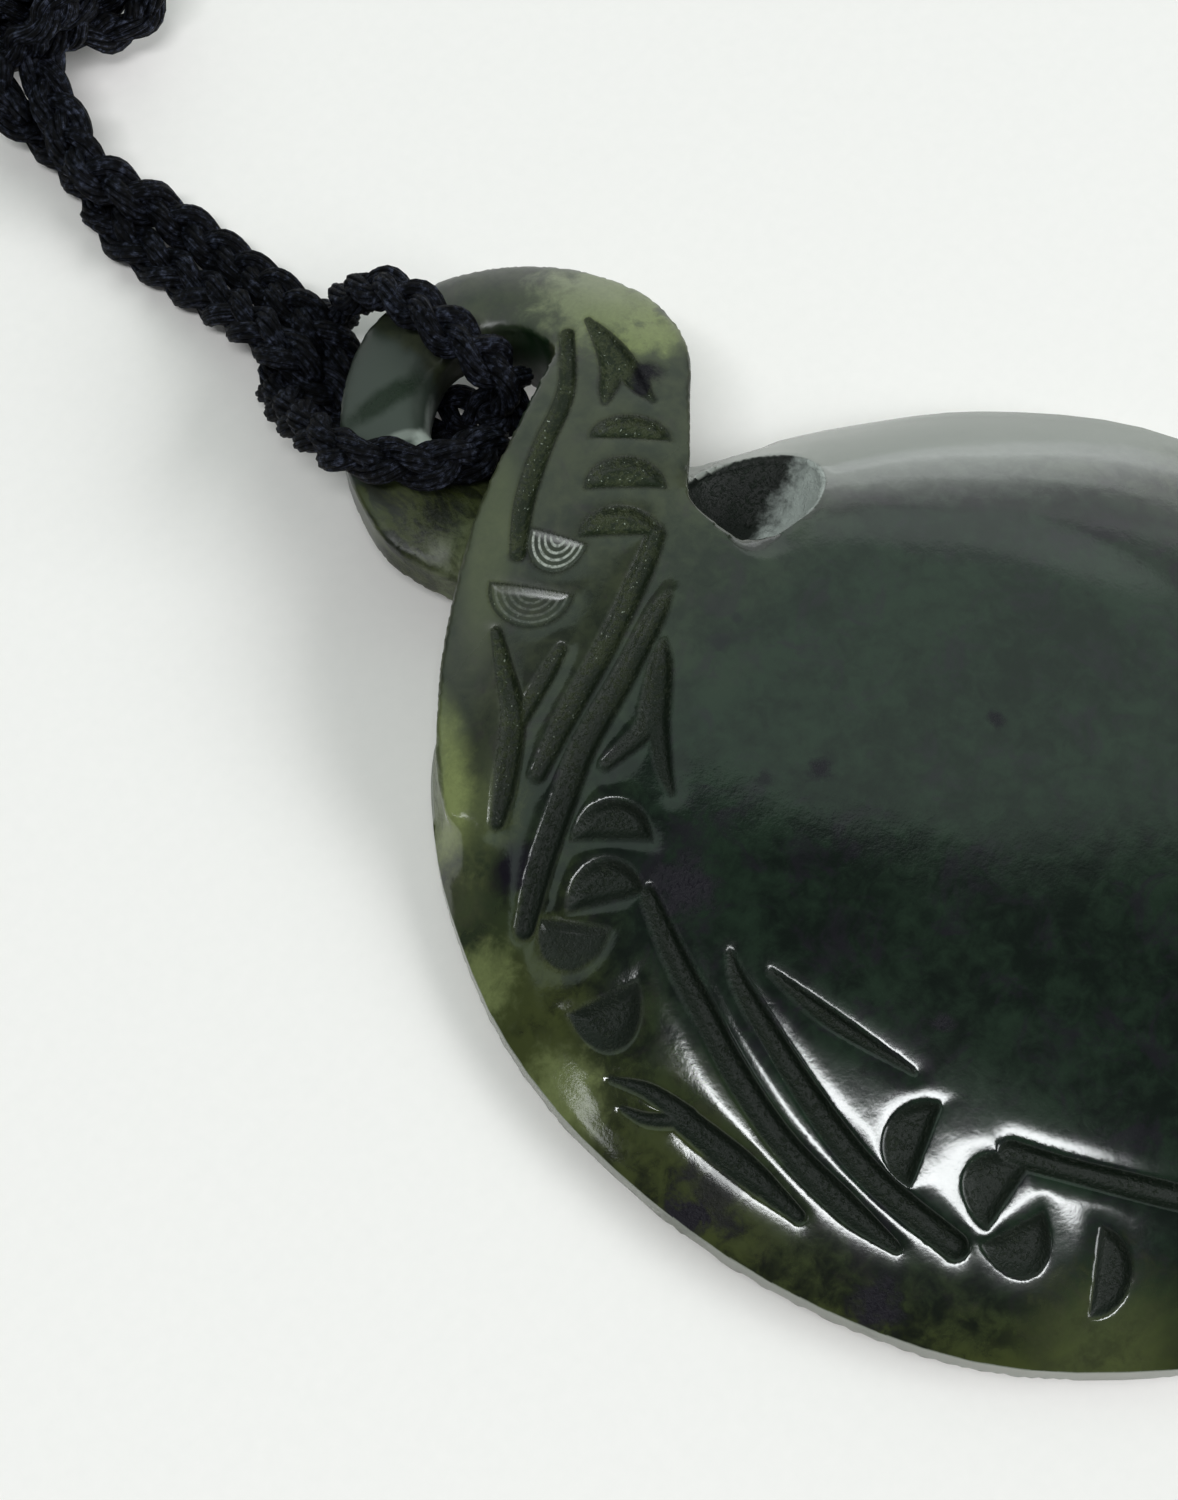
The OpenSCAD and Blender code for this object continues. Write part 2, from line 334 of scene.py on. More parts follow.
knot_middle = knot_way()
knot_sides, knot_tops = carried_frames(knot_middle)
knot_lines = []
for leg in (-KNOT_PAIR, KNOT_PAIR):
    cord_middle = knot_middle + knot_sides * leg
    knot_lines += yarn_lines(cord_middle, knot_sides, knot_tops, start=leg, spread=KNOT_SPREAD)
knot_plait = laid_cord("knot_plait", knot_lines, YARN_D, YARN_SIDES)
knot_plait.data.materials.append(waxed_cotton("waxed_cotton_knot", 1))
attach(knot_plait, "root")
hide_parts("cord_knot")

# The rest of the cord, a whole loop to go over the head, laid out plainly on the table. It is the
# same plait, and its yarns are left to the relief of its finish.
NECK_STEP = 0.5
LOOP_HALF = [
    (2.9, 64.6, 2.4), (5, 69.5, 1.3), (8, 77, 1), (20, 100, 1), (42, 140, 1),
    (62, 185, 1), (72, 230, 1), (66, 272, 1), (40, 306, 1),
]
LOOP_END = (0, 320, 1)
# Both ends run on a little way into the knot.
LOOP_START = (1.9, 62.6, 3.2)
LOOP_FINISH = (-1.2, 62.6, 3.4)
left_half = [(-x, y, z) for x, y, z in reversed(LOOP_HALF)]
loop_way = smooth_route([LOOP_START, *LOOP_HALF, LOOP_END, *left_half, LOOP_FINISH], NECK_STEP)
loop_strands = [middle for middle, along in strand_lines(loop_way, *carried_frames(loop_way))]
neck_plait = laid_cord("neck_plait", loop_strands, STRAND_D, STRAND_SIDES)
neck_plait.data.materials.append(waxed_cotton("waxed_cotton_strands", 6))
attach(neck_plait, "root")
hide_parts("neck_cord")

# The pendant's blank: dark green stone, sawn and ground to a domed blade with its neck twisted over
# into a ring, then polished. Its crisp edges keep their line and the faces between them are smooth. Beside
# the blade the neck's two edges run out.
BLANK_GRAIN = 0.37
SAME_PLACE = 0.001
CRISP_ANGLE = radians(30)
CRISP_STEP = 0.1
CRISP_REACH = 0.45
FACE_PASSES = 24
# The neck's edges run out below this y and left of this x, where only the pit's lip stays crisp.
RUN_OUT_Y = 16.5
RUN_OUT_X = 2.2
PIT_ANGLE = radians(95)
# The edges of the neck, the ring and the pit lie higher than the rim, and are made finer and rounder.
HIGH_EDGE = 1.9
EDGE_REACH = 0.6
EDGE_PASSES = 4
EDGE_SNAP = 0.07
# Where the neck's edge runs out beside the pit: the ranges of x, y and z.
PIT_CORNER = [(0.8, 3.0), (12.5, 16.6), (5.0, 7.4)]
# The blade's rim: a low upright wall with a crisp edge at its top and its foot.
RIM_TOP = 1.5
RIM_SNAP = 0.12
RIM_SLACK = 0.01
BESIDE_EDGE = 0.8
FOOT_SNAP = 0.28
FOOT_TOP = 0.1
stone_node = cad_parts["stone_pendant"]
solid = bmesh.new()
solid.from_mesh(stone_node.data)
bmesh.ops.remove_doubles(solid, verts=solid.verts, dist=SAME_PLACE * MM)
crisp = []
for edge in solid.edges:
    first, last = (vert.co for vert in edge.verts)
    middle = (first + last) / (2 * MM)
    runs_out = middle.z > HIGH_EDGE and middle.y < RUN_OUT_Y and middle.x < RUN_OUT_X
    least = PIT_ANGLE if runs_out else CRISP_ANGLE
    if len(edge.link_faces) == 2 and edge.is_convex and edge.calc_face_angle() > least:
        pieces = max(1, round((last - first).length / (CRISP_STEP * MM)))
        crisp += [first.lerp(last, step / pieces) for step in range(pieces + 1)]
crisp_tree = KDTree(len(crisp))
for index, place in enumerate(crisp):
    crisp_tree.insert(place, index)
crisp_tree.balance()
blank_mesh = bpy.data.meshes.new("carved_stone")
blank_tree = BVHTree.FromBMesh(solid)
solid.to_mesh(blank_mesh)
solid.free()
carved_stone = bpy.data.objects.new("carved_stone", blank_mesh)
scene.collection.objects.link(carved_stone)
grain = carved_stone.modifiers.new("grain", "REMESH")
grain.mode = "VOXEL"
grain.voxel_size = BLANK_GRAIN * MM
even_mesh = bpy.data.meshes.new_from_object(
    carved_stone.evaluated_get(bpy.context.evaluated_depsgraph_get()))
carved_stone.modifiers.clear()
stone = bmesh.new()
stone.from_mesh(even_mesh)


def ease(verts, passes, factor=0.5):
    """Smooths these vertices of the stone."""
    for smoothing in range(passes):
        bmesh.ops.smooth_vert(stone, verts=verts, factor=factor,
                              use_axis_x=True, use_axis_y=True, use_axis_z=True)


def split_between(chosen):
    """Halves every edge of the stone that runs between two of the chosen vertices."""
    edges = [edge for edge in stone.edges if edge.verts[0] in chosen and edge.verts[1] in chosen]
    bmesh.ops.subdivide_edges(stone, edges=edges, cuts=1, use_grid_fill=True)


def beside_high_edges():
    """The vertices close to a crisp edge of the neck, the ring or the pit."""
    return [vert for vert in stone.verts
            if vert.co.z > HIGH_EDGE * MM and crisp_tree.find(vert.co)[2] < EDGE_REACH * MM]


def part_of_one(value):
    """The value, kept from 0 to 1."""
    return min(1, max(0, value))


ease([vert for vert in stone.verts if crisp_tree.find(vert.co)[2] > CRISP_REACH * MM], FACE_PASSES)
split_between(set(beside_high_edges()))
beside = beside_high_edges()
for smoothing in range(EDGE_PASSES):
    ease(beside, 1)
    for vert in beside:
        share = part_of_one(2 * (1 - crisp_tree.find(vert.co)[2] / (EDGE_REACH * MM)))
        vert.co = vert.co.lerp(blank_tree.find_nearest(vert.co)[0], share)
for vert in beside:
    edge_place, index, away = crisp_tree.find(vert.co)
    if away < EDGE_SNAP * MM:
        vert.co = edge_place
corner = [vert for vert in stone.verts if all(low * MM < value < high * MM
                                              for value, (low, high) in zip(vert.co, PIT_CORNER))]
ease(corner, EDGE_PASSES)
for vert in stone.verts:
    if abs(vert.co.z - RIM_TOP * MM) < RIM_SNAP * MM and crisp_tree.find(vert.co)[2] < CRISP_REACH * MM:
        vert.co.z = RIM_TOP * MM
bmesh.ops.bisect_plane(stone, geom=[*stone.verts, *stone.edges, *stone.faces], dist=SAME_PLACE * MM,
                       plane_co=(0, 0, RIM_TOP * MM), plane_no=(0, 0, 1))
wall = stone.verts.layers.float.new("wall")
for vert in stone.verts:
    edge_place, index, away = crisp_tree.find(vert.co)
    low = vert.co.z < (RIM_TOP - RIM_SLACK) * MM
    on_rim = abs(vert.co.z - RIM_TOP * MM) < 2 * SAME_PLACE * MM and away < 2 * CRISP_REACH * MM
    vert.co.z = max(0, vert.co.z)
    at_foot = low and vert.co.z < FOOT_SNAP * MM and away < FOOT_SNAP * MM
    if on_rim or at_foot:
        vert.co = edge_place
    elif away < BESIDE_EDGE * MM and vert.co.z < (RIM_TOP + BESIDE_EDGE) * MM:
        share = 1 if low else min(1, 2 * (1 - away / (BESIDE_EDGE * MM)))
        vert.co = vert.co.lerp(blank_tree.find_nearest(vert.co)[0], share)
    vert[wall] = 1 if on_rim or (low and vert.co.z > FOOT_TOP * MM) else 0
stone.normal_update()
for edge in stone.edges:
    on_wall = all(vert[wall] and vert.co.z > (RIM_TOP - 2 * RIM_SLACK) * MM for vert in edge.verts)
    if on_wall and len(edge.link_faces) == 2:
        edge.smooth = edge.calc_face_angle() < CRISP_ANGLE

# The engraved band down the left of the face: dull troughs of crescents, forked leaves and long strokes,
# cut with a round burr. Three crescents are filled with fine rings instead. A burr also ground out the pit
# beside the crossing.
BURR_DEPTH = 0.3
MOON_DEPTH = 0.34
RINGED_DEPTH = 0.1
# A trough's side goes down over this share of its half width. For a crescent, a share of its height stands
# in for that width.
TROUGH_SIDE = 0.7
MOON_SIDE = 0.4
# A stroke of this half width is cut to the burr's depth, a narrower one less deep, and a wider one at most
# so many times as deep.
FULL_WIDTH = 0.4
DEEPEST = 1.2
# How finely a stroke is followed, where a place counts from before any cut is near it, and how soon inside a
# crescent its rings begin.
STROKE_STEP = 0.25
FAR_OUT = -9.0
RINGED_EDGE = 0.08
# The pit's burr: x, y, z and radius along its way. It stays within the box, ranges of x and y and least z.
PIT_ROUTE = [(3.1, 17.9, 5.7, 1.6), (3.0, 17.5, 5.3, 2.0), (4.1, 17.0, 4.95, 2.65), (5.6, 17.3, 5.4, 2.2),
             (6.4, 18.1, 6.1, 1.5)]
PIT_BOX = (0, 9), (13.5, 21), 2
PIT_STEP = 0.2
# Places along the neck's left edge, with the ring's band beyond it and lower than its top.
NECK_LEFT = [(-14.6, 16.4), (-11.6, 19.8), (-8.4, 22.1), (-5.0, 24.0), (-1.9, 25.2), (0.9, 26.3)]
BAND_RIGHT = -1
BAND_TOP = 6.5
# The middle of the ring's hole, and how far its wall is from there.
BORE_MIDDLE = (-1.6, 31.0)
BORE_REACH = 5.6
# Round a cut the polish wore down the stone a little.
SHOULDER_REACH = 0.8
SHOULDER_DROP = 0.05
# How far from a cut the mesh is split once and twice.
NEAR_CUT = 0.9
AT_CUT = 0.3
CUT_PASSES = 2
CUT_EASE = 0.4
# How far the marks of a cut's rim and lip reach from its outline, and how softly the others end.
RIM_REACH = 0.12
LIP_REACH = 0.4
CUT_SOFT = 0.1
PIT_OVER = 0.16
BAND_SOFT = 0.15
# A place on top faces up at least so much, and a line straight up from this height above it meets nothing.
LEAST_UP = 0.2
LINE_START = 0.05
# Each stroke is a list of x, y and half the width of the trough there.
STROKES = [
    [(3.5, 27.2, .28), (1.7, 25.4, .32), (0.4, 24.6, .36), (-1.1, 24.0, .38), (-3.6, 22.7, .38),
     (-5.4, 21.3, .3)],
    [(4.6, 27.0, .12), (4.0, 25.4, .4), (3.4, 24.4, .5), (2.6, 23.9, .35), (2.0, 23.5, .12)],
    [(4.6, 26.6, .12), (4.2, 24.9, .4), (3.7, 23.5, .45), (3.5, 22.2, .1)],
    [(-0.9, 17.8, .35), (-2.7, 17.0, .42), (-5.9, 15.9, .42), (-8.9, 15.1, .42), (-11.3, 14.4, .3)],
    [(-8.3, 19.7, .18), (-9.1, 18.5, .32), (-10.3, 16.8, .45), (-12.3, 15.3, .45), (-13.6, 14.5, .3)],
    [(-7.1, 17.2, .2), (-8.3, 16.9, .3), (-10.2, 16.5, .3)],
    [(-2.5, 15.6, .1), (-3.6, 15.3, .35), (-6.6, 14.4, .45), (-9.4, 13.7, .5), (-11.6, 12.8, .5),
     (-14.1, 11.7, .5), (-15.9, 10.7, .4)],
    [(-4.2, 14.3, .15), (-5.0, 13.7, .45), (-6.6, 12.5, .6)],
    [(-6.6, 12.5, .5), (-7.6, 12.3, .38), (-9.4, 12.5, .2)],
    [(-6.5, 12.5, .45), (-7.9, 10.8, .3), (-8.5, 9.8, .12)],
    [(-12.0, 7.7, .3), (-13.0, 5.4, .42), (-13.8, 3.1, .45), (-14.7, 0.5, .5), (-15.4, -2.7, .5),
     (-15.5, -6.0, .5), (-15.3, -8.4, .2)],
    [(-11.6, 3.7, .1), (-12.2, 2.6, .3), (-13.0, -0.1, .42), (-13.8, -3.5, .5), (-14.1, -6.4, .5),
     (-13.8, -10.0, .5)],
    [(-11.1, 2.0, .1), (-11.0, 0, .28), (-10.8, -1.7, .3), (-10.3, -4.6, .1)],
    [(-17.9, 4.1, .12), (-17.3, 2.6, .3), (-17.1, 0.8, .45)],
    [(-18.4, 3.0, .12), (-18.1, 2.0, .25), (-17.5, 1.2, .3)],
    [(-17.2, 0.8, .5), (-17.0, -2.1, .55), (-16.9, -4.9, .25)],
    [(-10.0, -9.3, .5), (-8.9, -11.4, .45), (-6.9, -14.8, .5), (-5.5, -16.6, .4), (-4.0, -17.8, .1)],
]
# Each crescent is x, y of the middle of its straight side, that side's turn, half its length, its height,
# how many rings fill it and how bright they are.
MOONS = [
    (1.5, 21.55, -46, 1.6, 1.03, 0, 0),
    (-0.3, 20.1, -43, 1.63, 1.34, 0, 0),
    (-2.0, 18.8, -43, 1.63, 1.2, 0, 0),
    (-3.8, 20.55, 115, 1.2, 1.54, 5, 1.0),
    (-6.1, 19.85, 122, 1.7, 1.57, 6, 0.22),
    (-11.35, 10.3, -52, 1.53, 1.52, 0, 0),
    (-13.25, 8.8, -39, 1.5, 1.6, 0, 0),
    (-14.6, 9.2, 118, 1.4, 1.74, 5, 0.06),
    (-15.95, 6.4, 152, 1.4, 2.1, 0, 0),
    (-11.95, -6.75, 21, 1.6, 1.6, 0, 0),
    (-11.2, -10.3, 7, 1.4, 1.9, 0, 0),
    (-11.9, -11.1, 160, 1.3, 1.9, 0, 0),
    (-10.9, -14.4, 216, 1.6, 1.4, 0, 0),
]


def stroke_inside(x, y, stroke):
    """How far inside the stroke each place is, in mm, and the half width there."""
    way = smooth_route(stroke, STROKE_STEP)
    best = np.full(len(x), FAR_OUT)
    width = np.ones(len(x))
    for (ax, ay, aw), (bx, by, bw) in zip(way, way[1:]):
        dx, dy = bx - ax, by - ay
        part = np.clip(((x - ax) * dx + (y - ay) * dy) / (dx * dx + dy * dy), 0, 1)
        half = aw + (bw - aw) * part
        inside = half - np.hypot(x - ax - dx * part, y - ay - dy * part)
        nearer = inside > best
        best = np.where(nearer, inside, best)
        width = np.where(nearer, half, width)
    return best, width


def moon_inside(x, y, moon):
    """How far inside the crescent each place is, and how far it is from the middle of its rings."""
    mx, my, turn, half, height = moon[:5]
    c, s = cos(radians(turn)), sin(radians(turn))
    along = (x - mx) * c + (y - my) * s
    up = (y - my) * c - (x - mx) * s
    from_arc = (1 - np.hypot(along / half, up / height)) * min(half, height)
    return np.minimum(up, from_arc), np.hypot(along, up * half / height)


def trough(inside, width):
    """The depth of a trough, from 0 at its outline to 1 where its side ends."""
    part = np.clip(inside / width / TROUGH_SIDE, 0, 1)
    return np.sin(part * pi / 2)


def engraving(x, y):
    """Depth in mm, distance inside the nearest cut, and the rings' radius and share at each place."""
    depth = np.zeros(len(x))
    nearest = np.full(len(x), FAR_OUT)
    radius = np.zeros(len(x))
    share = np.zeros(len(x))
    for stroke in STROKES:
        inside, width = stroke_inside(x, y, stroke)
        full = BURR_DEPTH * np.clip(width / FULL_WIDTH, 0, DEEPEST)
        depth = np.maximum(depth, full * trough(inside, width))
        nearest = np.maximum(nearest, inside)
    for moon in MOONS:
        inside, out = moon_inside(x, y, moon)
        half, height, rings, brightness = moon[3:]
        full = RINGED_DEPTH if rings else MOON_DEPTH
        depth = np.maximum(depth, full * trough(inside, height * MOON_SIDE))
        nearest = np.maximum(nearest, inside)
        if rings:
            radius = np.where(inside > 0, out / half * rings, radius)
            share = np.where(inside > 0, np.clip(inside / RINGED_EDGE, 0, 1) * brightness, share)
    shoulder = np.clip(1 + nearest / SHOULDER_REACH, 0, 1) ** 2
    return depth + SHOULDER_DROP * shoulder, nearest, radius, share


def outside_pit(vert):
    """How far a vertex is outside the burr's way through the pit, in mm."""
    return (np.linalg.norm(pit_way[:, :3] - np.array(vert.co) / MM, axis=1) - pit_way[:, 3]).min()


def in_pit_box(place):
    (left, right), (near, far), foot = PIT_BOX
    return left < place.x / MM < right and near < place.y / MM < far and place.z > foot * MM


def upper_places(verts):
    """Which of the vertices lie on top, with nothing of the stone above them."""
    stone.normal_update()
    tree = BVHTree.FromBMesh(stone)
    up = Vector((0, 0, 1))
    return [vert for vert in verts
            if vert.normal.z > LEAST_UP and tree.ray_cast(vert.co + up * LINE_START * MM, up)[0] is None]


pit_way = smooth_route(PIT_ROUTE, PIT_STEP)
for reach in (NEAR_CUT, AT_CUT):
    top = upper_places(stone.verts)
    plan = np.array([vert.co[:2] for vert in top]) / MM
    inside = engraving(plan[:, 0], plan[:, 1])[1]
    chosen = {vert for vert, deep in zip(top, inside) if deep > -reach}
    chosen |= {vert for vert in stone.verts if in_pit_box(vert.co) and abs(outside_pit(vert)) < reach}
    split_between(chosen)
layers = {name: stone.verts.layers.float.new(name)
          for name in ("cut", "rim", "lip", "ring", "ringed", "pit", "bore", "band")}
for vert in stone.verts:
    inward = Vector((BORE_MIDDLE[0] * MM - vert.co.x, BORE_MIDDLE[1] * MM - vert.co.y, 0))
    faces_in = vert.normal.dot(inward.normalized())
    if inward.length < BORE_REACH * MM:
        vert[layers["bore"]] = part_of_one(2 * faces_in - 0.7)
    beyond = vert.co.y / MM - np.interp(vert.co.x / MM, *zip(*NECK_LEFT))
    if vert.co.x < BAND_RIGHT * MM and vert.co.z < BAND_TOP * MM:
        vert[layers["band"]] = part_of_one(beyond / BAND_SOFT)
    if in_pit_box(vert.co):
        vert[layers["pit"]] = part_of_one((PIT_OVER - outside_pit(vert)) / CUT_SOFT)
top = upper_places(stone.verts)
plan = np.array([vert.co[:2] for vert in top]) / MM
depth, inside, radius, share = engraving(plan[:, 0], plan[:, 1])
touched = []
for vert, deep, within, out, part in zip(top, depth, inside, radius, share):
    vert.co -= vert.normal * deep * MM
    vert[layers["cut"]] = part_of_one(0.5 + within / CUT_SOFT)
    vert[layers["rim"]] = max(0, 1 - abs(within) / RIM_REACH)
    vert[layers["lip"]] = max(0, 1 - abs(within) / LIP_REACH)
    vert[layers["ring"]] = out
    vert[layers["ringed"]] = part
    if abs(within) < AT_CUT:
        touched.append(vert)
ease(touched, CUT_PASSES, factor=CUT_EASE)
bmesh.ops.triangulate(stone, faces=[face for face in stone.faces if len(face.verts) > 4])
for face in stone.faces:
    face.smooth = True
stone.to_mesh(blank_mesh)
stone.free()

# The stone's colour and polish: near black green in the blade, grey green in the neck, and a lighter olive
# where it thins towards the rim, painted for light coming through it, with clouds and specks. Painted glows,
# highlights, reflections and shade stand in for light on the ring, its band and bore, the blade's far edge
# and the rim's wall. What the burr cut is left dull: the troughs, the pit and the one black flaw that broke
# out.
STONE_IOR = 1.62
STONE_MIDDLE = (0.85, -2)
STONE_REACH = (21.2, 22.5)
# The level way from the blade's middle to its far edge, as x and y.
FAR_WAY = (0.719, 0.695)
# Colours, and pairs of them from one end of a mixture to the other.
BLADE_GREENS = (0.0012, 0.005, 0.0025), (0.009, 0.021, 0.011)
BLADE_VEIL = (0.009, 0.007, 0.012)
NECK_GREENS = (0.016, 0.021, 0.013), (0.04, 0.047, 0.025)
NECK_VEIL = (0.026, 0.021, 0.024)
RIM_GLOW_OLIVES = (0.004, 0.006, 0.001), (0.04, 0.05, 0.012)
BAND_SHADED_DARKS = (0.004, 0.007, 0.0005), (0.034, 0.044, 0.008)
BAND_LIT_PALES = (0.07, 0.085, 0.035), (0.14, 0.162, 0.085)
BAND_FACET_REFLECTION = (0.03, 0.04, 0.032)
DARK_REFLECTION_COLOUR = (0.003, 0.012, 0.003)
PAINTED_GLOW_COLOURS = (0.19, 0.225, 0.085), (0.19, 0.215, 0.115)
SPECK_COLOUR = (0.003, 0.002, 0.006)
RING_LINE = (0.42, 0.45, 0.4)
CUT_OUTLINE = (0.004, 0.007, 0.002)
CHIP_COLOUR = (0.1, 0.12, 0.085)
FAR_EDGE_SHEEN = (0.27, 0.285, 0.26)
BORE_LIGHT_AND_SHADE = (0.26, 0.28, 0.26), (0.006, 0.018, 0.006)
HIGHLIGHT_ARC_COLOUR = (0.36, 0.4, 0.36)
WALL_REFLECTION_COLOUR = (0.25, 0.265, 0.225)
TROUGH_COLOURS = (0.003, 0.007, 0.003), (0.009, 0.015, 0.005)
TROUGH_OLIVE = (0.052, 0.062, 0.024)
TROUGH_GRIT = (0.045, 0.058, 0.032)
TROUGH_SPARK = (0.3, 0.34, 0.27)
PIT_DARKS = (0.001, 0.003, 0.001), (0.012, 0.018, 0.012)
PIT_PAINTED_LIGHT = (0.38, 0.41, 0.39)
FLAW_COLOUR = (0.002, 0.0015, 0.004)
# Spots of another colour: x, y, size and strength.
SPECKS = [
    (-14.4, 12.6, 1.0, 1), (-11.0, 6.8, 1.4, 1), (-19.9, -1.6, 1.0, 1), (-18.4, -1.9, 1.5, 0.8),
    (-17.1, -9.2, 1.0, 1), (-4.0, 6.1, 0.5, 1), (-5.7, 7.4, 0.4, 0.7), (2.5, 2.5, 0.4, 0.9),
    (-8.2, -4.2, 0.4, 0.8), (-5.2, 21.0, 0.6, 0.7), (-2.7, 12.7, 0.4, 0.7), (-1.3, 13.0, 0.3, 0.6),
]
FLAW = [(4.2, 23.3, 0.8, 1), (3.6, 22.9, 0.4, 1)]
# Painted glows: spots of painted light where light comes through or a lamp is reflected.
PAINTED_GLOWS = [
    (-14.2, 15.5, 2.2, 0.35), (-18.6, 10.9, 1.8, 0.9), (-19.7, 5.1, 2.0, 0.8), (-16.5, 13.8, 1.4, 0.2),
    (5.9, 27.4, 2.9, 1.0), (4.6, 24.8, 1.3, 0.3), (6.2, 24.4, 1.3, 0.8), (5.2, 29.2, 1.5, 0.2),
    (-12.5, -16.4, 3.0, 0.2),
]
# Straight streaks: x, y, turn, half length, half width and strength.
# Painted dark reflection: a dark streak on the ring's face for the dark room reflected in it.
DARK_REFLECTION_STREAKS = [(-3.4, 31.25, -11, 2.4, 0.65, 1)]
# Painted glows: streaks of painted light along the neck's left edge.
PAINTED_EDGE_GLOWS = [(-13.6, 17.6, 50, 3.4, 1.3, 0.95), (-6.0, 22.3, 38, 5.0, 1.1, 0.22)]
# Painted highlights: pale arcs on the ring's face where a rounded ridge catches the window.
PAINTED_HIGHLIGHT_ARCS = [
    (-2.35, 29.5, 40, 1.2, 0.3, 0.7), (-4.1, 29.4, -25, 1.0, 0.3, 0.4), (-3.5, 28.5, 40, 0.8, 0.7, 1),
    (-8.3, 27.6, 60, 1.0, 0.5, 0.5),
]
stone_finish, start, shader = new_finish("polished_greenstone", {"IOR": STONE_IOR})
cut_shader = start.tree.nodes.new("ShaderNodeBsdfPrincipled")
cut_shader.inputs["IOR"].default_value = STONE_IOR
cut_shader.inputs["Specular IOR Level"].default_value = 0.2
place = place_in_mm(start)
x, y, z = place.axes()
cut, rim, lip, ring, ringed, wall, pit, bore, band = (
    start.node("ShaderNodeAttribute", {"attribute_name": name}, out="Fac")
    for name in ("cut", "rim", "lip", "ring", "ringed", "wall", "pit", "bore", "band"))
clouds = place.noise(0.16, 4, 0.6, 0.4)
mottle = place.noise(1.1, 4, 0.65, 0.3)
dust = place.noise(5.5, 3, 0.7)


def spots(places, ragged):
    """1 inside each spot and 0 outside, with a ragged edge."""
    mask = 0.0
    for spot_x, spot_y, size, strength in places:
        away = (((x - spot_x) ** 2 + (y - spot_y) ** 2) ** 0.5) / size + (mottle - 0.5) * ragged
        mask = mask + (1 - away.between(0.3, 1.3)) * strength
    return mask.math("MINIMUM", mask, 1)


def streaks(places):
    """1 inside each straight streak and 0 outside, with a ragged edge."""
    mask = 0.0
    for streak_x, streak_y, turn, half_length, half_width, strength in places:
        c, s = cos(radians(turn)), sin(radians(turn))
        over = ((x - streak_x) * c + (y - streak_y) * s) / half_length
        aside = ((y - streak_y) * c - (x - streak_x) * s) / half_width
        away = ((over * over + aside * aside) ** 0.5) + (mottle - 0.5) * 0.6
        mask = mask + (1 - away.between(0.4, 1.2)) * strength
    return mask.math("MINIMUM", mask, 1)


# The body colours: the blade, the neck above it and the thin rim below, painted lighter olive for light
# coming through it.
across = (x - STONE_MIDDLE[0]) / STONE_REACH[0]
along = (y - STONE_MIDDLE[1]) / STONE_REACH[1]
outward = (across * across + along * along) ** 0.5
thin = (outward + (clouds - 0.5) * 0.3).between(0.72, 1.0) * (1 - y.between(8, 15))
neck = (y + (clouds - 0.5) * 6).between(11, 20)
patchy = (clouds * 0.5 + mottle * 0.5).between(0.38, 0.64)
veiled = place.noise(0.45, 5, 0.7, 0.8).between(0.5, 0.68)
blade_green = (veiled * 0.7).tinted(patchy.tinted(*BLADE_GREENS), BLADE_VEIL)
neck_green = (veiled * 0.45).tinted(patchy.tinted(*NECK_GREENS), NECK_VEIL)
# Painted light: the thin rim is tinted lighter olive for light coming through it.
rim_olive = (mottle * 0.5 + clouds * 0.5).between(0.38, 0.6).tinted(*RIM_GLOW_OLIVES)
colour = thin.tinted(neck.tinted(blade_green, neck_green), rim_olive)

# The ring's band, that comes out from under the neck: painted pale where light comes through it and
# painted dark as shade under the hitch.
band = band * (1 - y.between(33, 36))
veins = place.stretched(1.3, 0.5, 1).noise(1.2, 5, 0.7, 0.6).between(0.4, 0.6)
# Painted shade: the band goes dark where it lies under the hitch, and painted pale elsewhere for light
# coming through it.
painted_hitch_shade = (y + (mottle - 0.5) * 4).between(22.5, 26)
banded = painted_hitch_shade.tinted(veins.tinted(*BAND_LIT_PALES), veins.tinted(*BAND_SHADED_DARKS))
# Painted reflection: the band's far facet is tinted grey green for the soft panel reflected in it.
banded = (y + (x + 4) * 0.3).between(28, 29).tinted(banded, BAND_FACET_REFLECTION)
colour = (band * 0.9).tinted(colour, banded)
# Painted dark reflection of the room above, across the ring's face.
painted_dark_reflection = streaks(DARK_REFLECTION_STREAKS) * band
colour = (painted_dark_reflection * 0.9).tinted(colour, DARK_REFLECTION_COLOUR)

# Painted glows for light coming through the stone and for reflections of the lamps, then specks, the fine
# rings, dark outlines round the cuts in the neck, and chips.
# Painted light: pale glows for light coming through thin stone and for reflections of the lamps.
painted_glow = y.between(24, 30).tinted(*PAINTED_GLOW_COLOURS)
painted_glow_mask = spots(PAINTED_GLOWS, 1.8) + streaks(PAINTED_EDGE_GLOWS) * (1 - band)
colour = (painted_glow_mask * (0.55 + dust * 0.5)).tinted(colour, painted_glow)
specks = spots(SPECKS, 2.2)
colour = specks.tinted(colour, SPECK_COLOUR)
bright = (ring * 2 * pi).wave().between(-0.2, 0.9) * ringed * (0.35 + dust.between(0.35, 0.6) * 0.65)
colour = bright.tinted(colour, RING_LINE)
# Dark outlines round the cuts in the neck.
colour = (rim.between(0.2, 0.7) * neck * 0.75).tinted(colour, CUT_OUTLINE)
chips = (rim * (dust + mottle * 0.4)).between(0.66, 0.84)
colour = (chips * 0.7).tinted(colour, CHIP_COLOUR)

# Painted light on thin edges: a pale sheen along the blade's far edge, painted light and shade in the
# ring's bore, pale highlight arcs on the ring, and a pale reflection on the rim's upright wall.
far = x * FAR_WAY[0] + y * FAR_WAY[1] + (y - 8) * 0.25 + (mottle - 0.5) * 1.5
